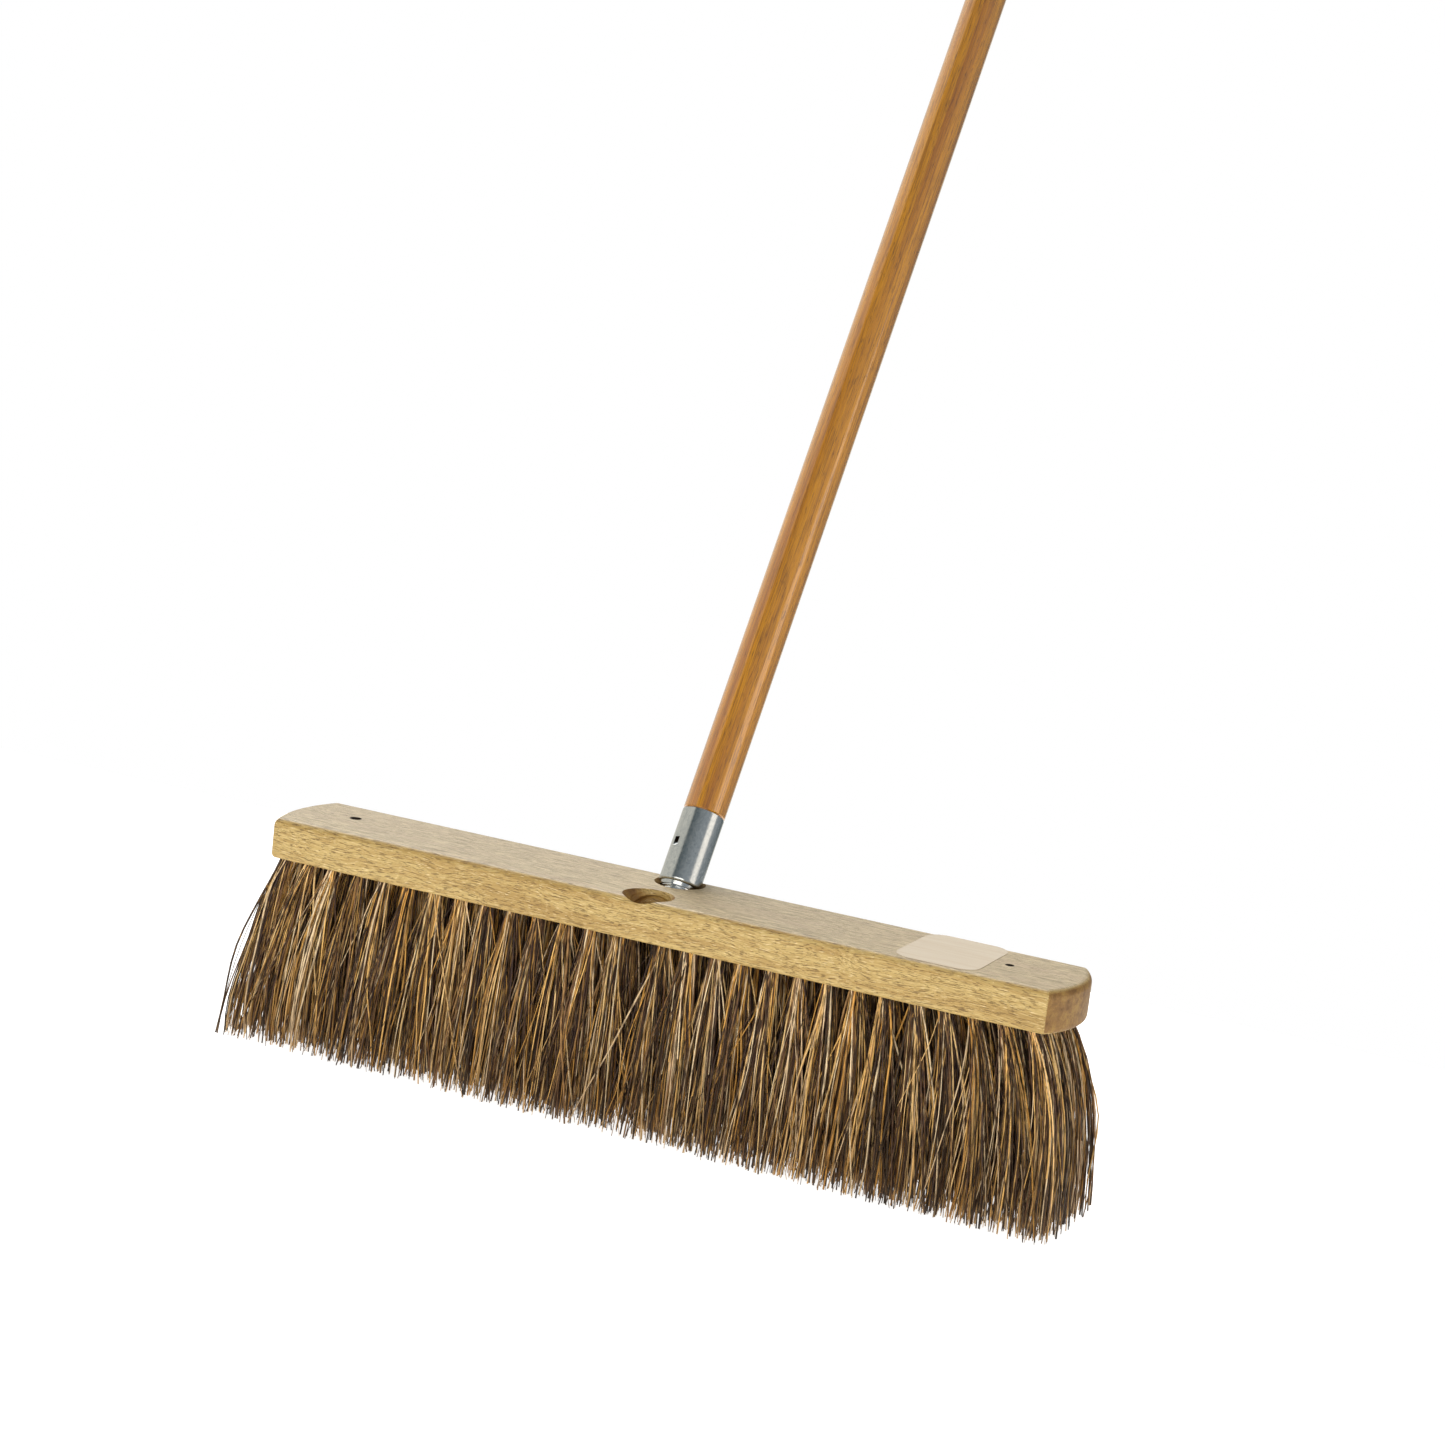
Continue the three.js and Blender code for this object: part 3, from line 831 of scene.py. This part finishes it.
def make_bristles(material):
    middle = [(column_x(side, 1), y, tuft_depth(1)) for side in (-1, 1) for y in ROW_CENTRES]
    make_bristle_column("bristles_middle", "tufts_middle", middle, 1, material)
    for word, side in (("left", -1), ("right", 1)):
        for number in range(2, COLUMNS_PER_SIDE + 1):
            tufts = [(column_x(side, number), y, tuft_depth(number)) for y in ROW_CENTRES]
            place = f"{word}_{number:02d}"
            seed = 100 * (side + 2) + number
            make_bristle_column(f"bristles_{place}", f"tufts_{place}", tufts, seed, material)


def make_staples(material):
    """The wire staple over each tuft's fold, at the bottom of its hole."""
    staples = []
    for number, x, y in tuft_places():
        bottom = UNDERSIDE + tuft_depth(number)
        half = TUFT_HOLE_RADIUS - 2 * STAPLE_RADIUS
        fold = bottom - STAPLE_FOLD
        leg_end = bottom + (STAPLE_LEG if number > 1 else MIDDLE_STAPLE_LEG)
        path = [(-half, leg_end), (-half, fold + STAPLE_BEND), (-half + STAPLE_BEND, fold)]
        path += [(-across, z) for across, z in path[::-1]]
        rings = []
        for i, (across, z) in enumerate(path):
            before, after = path[max(i - 1, 0)], path[min(i + 1, len(path) - 1)]
            along = Vector((after[0] - before[0], 0, after[1] - before[1])).normalized()
            out = along.cross(Vector((0, 1, 0)))
            rings.append([
                Vector((x + across, y, z))
                + STAPLE_RADIUS * (math.cos(turn) * out + math.sin(turn) * Vector((0, 1, 0)))
                for turn in (2 * math.pi * k / STAPLE_SIDES for k in range(STAPLE_SIDES))
            ])
        staples.append(loft("staple", rings))
    show(join("tuft_staples", staples), material, "head", "bright_zinc")


# --- Handle ---
def thread_radius(angle, height):
    """A right-hand thread with flat crests and roots, which runs out at the tip's end."""
    if height >= THREAD_TOP:
        return TIP_RADIUS
    turns = height / THREAD_PITCH - angle / (2 * math.pi)
    ridge = min(max(0.5 + math.cos(2 * math.pi * turns), 0), 1)
    run_out = min((height - TIP_END) / (THREAD_PITCH / 2), 1)
    core = TIP_CORE_RADIUS - TIP_LEAD_IN * (1 - run_out)
    return core + (TIP_RADIUS - TIP_CORE_RADIUS) * ridge * run_out


def make_tip(material):
    """The thread, a plain neck, and the plug that the sleeve holds."""
    rings = []
    angles = [2 * math.pi * i / ROUND_SIDES for i in range(ROUND_SIDES)]
    for i in range(THREAD_STEPS + 1):
        height = TIP_END + (THREAD_TOP - TIP_END) * i / THREAD_STEPS
        radii = [thread_radius(angle, height) for angle in angles]
        rings.append([(r * math.cos(a), r * math.sin(a), height) for r, a in zip(radii, angles)])
    inner = HANDLE_RADIUS - SLEEVE_WALL - GAP
    plug_bottom = SLEEVE_BOTTOM + SLEEVE_WALL + GAP
    plain = [(TIP_RADIUS, plug_bottom), (inner, plug_bottom), (inner, PLUG_TOP)]
    rings += [circle(radius, height, ROUND_SIDES) for radius, height in plain]
    tip = loft("screw_tip", rings)
    tip.matrix_basis = handle_matrix(1)
    smooth(tip)
    show(tip, material, "tip", "bright_zinc", "threaded_tip")


def stake_matrix():
    """Places something at the stake's middle on the sleeve, facing outwards along local +X."""
    turn = Matrix.Rotation(STAKE_ANGLE - math.pi / 2, 4, "Z")
    return turn @ Matrix.Translation((HANDLE_RADIUS, 0, STAKE_HEIGHT))


def box(name, size, centre, matrix):
    x, y, z = (length / 2 for length in size)
    rings = [[(-x, -y, level), (x, -y, level), (x, y, level), (-x, y, level)] for level in (-z, z)]
    piece = loft(name, rings)
    piece.matrix_basis = matrix @ Matrix.Translation(centre)
    return piece


def sleeve_profile():
    """(radius, height) round the sleeve's wall, with its lower rim rolled in."""
    inner = HANDLE_RADIUS - SLEEVE_WALL
    rim = TIP_RADIUS + GAP
    low = SLEEVE_BOTTOM - SHOULDER
    foot = rim + RIM_FOOT
    neck = rim + RIM_NECK
    outside = [(foot, low + RIM_LIP), (neck, low + NECK_HEIGHT)]
    for i in range(RIM_STEPS + 1):
        angle = math.pi / 2 * i / RIM_STEPS
        height = SLEEVE_BOTTOM - (SHOULDER - NECK_HEIGHT) * math.cos(angle)
        outside.append((neck + (HANDLE_RADIUS - neck) * math.sin(angle), height))
    straight = [SLEEVE_BOTTOM + i * NICK_RING_GAP for i in range(1, NICK_RINGS + 1)]
    outside += [(HANDLE_RADIUS, height) for height in straight]
    outside += [(HANDLE_RADIUS, SLEEVE_TOP - RIM_LIP), (HANDLE_RADIUS - RIM_LIP, SLEEVE_TOP)]
    inside = [
        (inner, SLEEVE_TOP),
        (inner, SLEEVE_BOTTOM + SLEEVE_WALL),
        (rim, SLEEVE_BOTTOM + SLEEVE_WALL),
        (rim, low + RIM_LIP),
        (rim + RIM_LIP, low),
    ]
    return outside + inside


def press_nick(sleeve):
    """A small slanting dent just above the rolled rim."""
    for vertex in sleeve.data.vertices:
        x, y, z = vertex.co
        radius = math.hypot(x, y)
        angle = math.atan2(x, -y)
        across = radius * (angle - NICK_ANGLE)
        up = z - NICK_HEIGHT
        slant = across - up * NICK_SLANT
        depth = NICK_DEPTH * math.exp(-(slant / NICK_WIDTH) ** 2 - (up / NICK_REACH) ** 2)
        if radius > HANDLE_RADIUS - SLEEVE_WALL / 2:
            vertex.co.x -= depth * x / radius
            vertex.co.y -= depth * y / radius


def make_sleeve(material):
    """The steel tube, with a window whose tongue of metal is bent into the wood."""
    sleeve = turned("steel_sleeve", sleeve_profile(), sides=SLEEVE_SIDES, closed=True)
    press_nick(sleeve)
    cut(sleeve, box("window", (WINDOW_DEPTH, STAKE_WIDTH, STAKE_TALL), (0, 0, 0), stake_matrix()))
    reach = STAKE_TALL + SLEEVE_WALL
    window_foot = stake_matrix() @ Matrix.Translation((0, 0, -STAKE_TALL / 2))
    hinge = window_foot @ Matrix.Rotation(-STAKE_BEND, 4, "Y")
    middle = (-SLEEVE_WALL / 2, 0, reach / 2 - SLEEVE_WALL / 2)
    tongue = box("tongue", (SLEEVE_WALL, STAKE_WIDTH - GAP, reach), middle, hinge)
    sleeve = join("steel_sleeve", [sleeve, tongue])
    sleeve.matrix_basis = handle_matrix(1)
    smooth(sleeve)
    show(sleeve, material, "handle", "galvanised_steel", "ferrule_sleeve")


def make_dowel(material):
    """The wooden handle: a slimmer foot inside the sleeve, and a domed top."""
    foot = HANDLE_RADIUS - SLEEVE_WALL - GAP
    shoulder = SLEEVE_TOP + GAP
    top = TIP_END + HANDLE_LENGTH
    profile = [(foot, PLUG_TOP + GAP), (foot, shoulder), (HANDLE_RADIUS - DOWEL_EDGE, shoulder)]
    straight_top = top - TOP_DOME
    straight_low = shoulder + DOWEL_EDGE
    for i in range(DOWEL_LENGTHS + 1):
        height = straight_low + (straight_top - shoulder - DOWEL_EDGE) * i / DOWEL_LENGTHS
        profile.append((HANDLE_RADIUS, height))
    for i in range(1, DOME_STEPS):
        angle = math.pi / 2 * i / DOME_STEPS
        profile.append((HANDLE_RADIUS * math.cos(angle), straight_top + TOP_DOME * math.sin(angle)))
    dowel = turned("wooden_handle", profile)
    notch = (2 * NOTCH_DEPTH, STAKE_WIDTH, STAKE_TALL + 2 * SLEEVE_WALL)
    cut(dowel, box("notch", notch, (0, 0, 0), stake_matrix()))
    dowel.matrix_basis = handle_matrix(1)
    smooth(dowel)
    show(dowel, material, "handle", "handle_wood", "handle_dowel")


# --- Studio ---
def make_floor():
    """A pale flat floor, lit from within as a light table is, so that shadows stay faint."""
    look = Look("pale_floor", {"Roughness": 0.7, "Specular IOR Level": 0.2})
    grain = look.noise(look.grain(30 * MM, 30 * MM), detail=3)
    look.shade("Base Color", look.mix(grain, colour("e9e9e8"), colour("ececeb")))
    look.shader.inputs["Emission Color"].default_value = (1, 1, 1, 1)
    look.shader.inputs["Emission Strength"].default_value = 0.85
    half, back, depth = 1.2, 0.45, 0.01
    corners = [(-half, -half), (half, -half), (half, back), (-half, back)]
    floor = loft("floor", [[(x, y, z) for x, y in corners] for z in (-depth, 0)])
    floor.data.materials.append(look.material)


def make_world():
    """White to the camera. As a light it is a dim room, less so to the right, with a pale wall on
    the left and behind."""
    world = bpy.data.worlds.new("studio")
    world.use_nodes = True
    bpy.context.scene.world = world
    nodes = Nodes(world.node_tree)
    direction = nodes.add("ShaderNodeTexCoord", {}, "Generated")
    right = nodes.add("ShaderNodeSeparateXYZ", {"Vector": direction}, "X")
    behind = nodes.add("ShaderNodeSeparateXYZ", {"Vector": direction}, "Y")
    behind = nodes.math("MULTIPLY", nodes.math("MAXIMUM", behind, 0.0), 0.6)
    across = nodes.math("SUBTRACT", right, behind)
    room = nodes.mix(nodes.spread(across, -0.4, 0.75), (0.11, 0.14, 0.15, 1), (0.43, 0.46, 0.48, 1))
    walls = nodes.mix(nodes.spread(across, -0.43, -0.51), room, (0.84, 0.81, 0.72, 1))
    seen = nodes.add("ShaderNodeLightPath", {}, "Is Camera Ray")
    backdrop = nodes.mix(seen, walls, (1, 1, 1, 1))
    nodes.feed(world.node_tree.nodes["Background"].inputs["Color"], backdrop)


def place_light(name, light, direction, distance):
    """Puts a light round the broom's head and aims it there. The camera doesn't see it."""
    lamp = bpy.data.objects.new(name, light)
    bpy.context.scene.collection.objects.link(lamp)
    back = Vector(direction).normalized()
    lamp.location = Vector((0, 0, 0.15)) + back * distance
    lamp.rotation_mode = "QUATERNION"
    lamp.rotation_quaternion = (-back).to_track_quat("-Z", "Y")
    lamp.visible_camera = False


def soft_light(name, direction, distance, size, power, tint):
    light = bpy.data.lights.new(name, "AREA")
    light.shape = "RECTANGLE"
    light.size, light.size_y = size
    light.energy = power
    light.color = colour(tint)[:3]
    place_light(name, light, direction, distance)


def make_lights():
    overhead = bpy.data.lights.new("overhead", "SUN")
    overhead.angle = math.radians(50)
    overhead.energy = 1.9
    place_light("overhead", overhead, (-0.5, 0.45, 0.75), 3)
    soft_light(
        "right_strip", direction=(0.955, 0.08, 0.28), distance=1.8, size=(0.85, 1.0), power=3.7,
        tint="fff0de",
    )
    soft_light(
        "front_fill", direction=(0.15, -0.94, 0.3), distance=2.6, size=(2.4, 1.2), power=25,
        tint="fff6ea",
    )


def make_camera():
    """Looks at the head from the front, to the right and a little above, slightly rolled."""
    target = Vector((0.0195, 0, 0.2160))
    distance = 1.5467
    azimuth, elevation, roll = (math.radians(angle) for angle in (23.40, 10.24, 6.73))
    back = Vector((
        math.sin(azimuth) * math.cos(elevation),
        -math.cos(azimuth) * math.cos(elevation),
        math.sin(elevation),
    ))
    data = bpy.data.cameras.new("camera")
    data.lens = 75.52
    camera = bpy.data.objects.new("camera", data)
    bpy.context.scene.collection.objects.link(camera)
    camera.location = target + back * distance
    camera.rotation_mode = "QUATERNION"
    camera.rotation_quaternion = (-back).to_track_quat("-Z", "Y") @ Quaternion((0, 0, 1), roll)
    bpy.context.scene.camera = camera


def main():
    bpy.context.scene.view_settings.view_transform = "Standard"
    make_camera()
    make_world()
    make_lights()
    make_floor()
    make_block(block_wood())
    make_label(label_paper())
    make_bristles(bristle_fibre())
    make_staples(staple_wire())
    make_tip(bright_zinc())
    make_sleeve(galvanised_steel())
    make_dowel(handle_wood())


main()
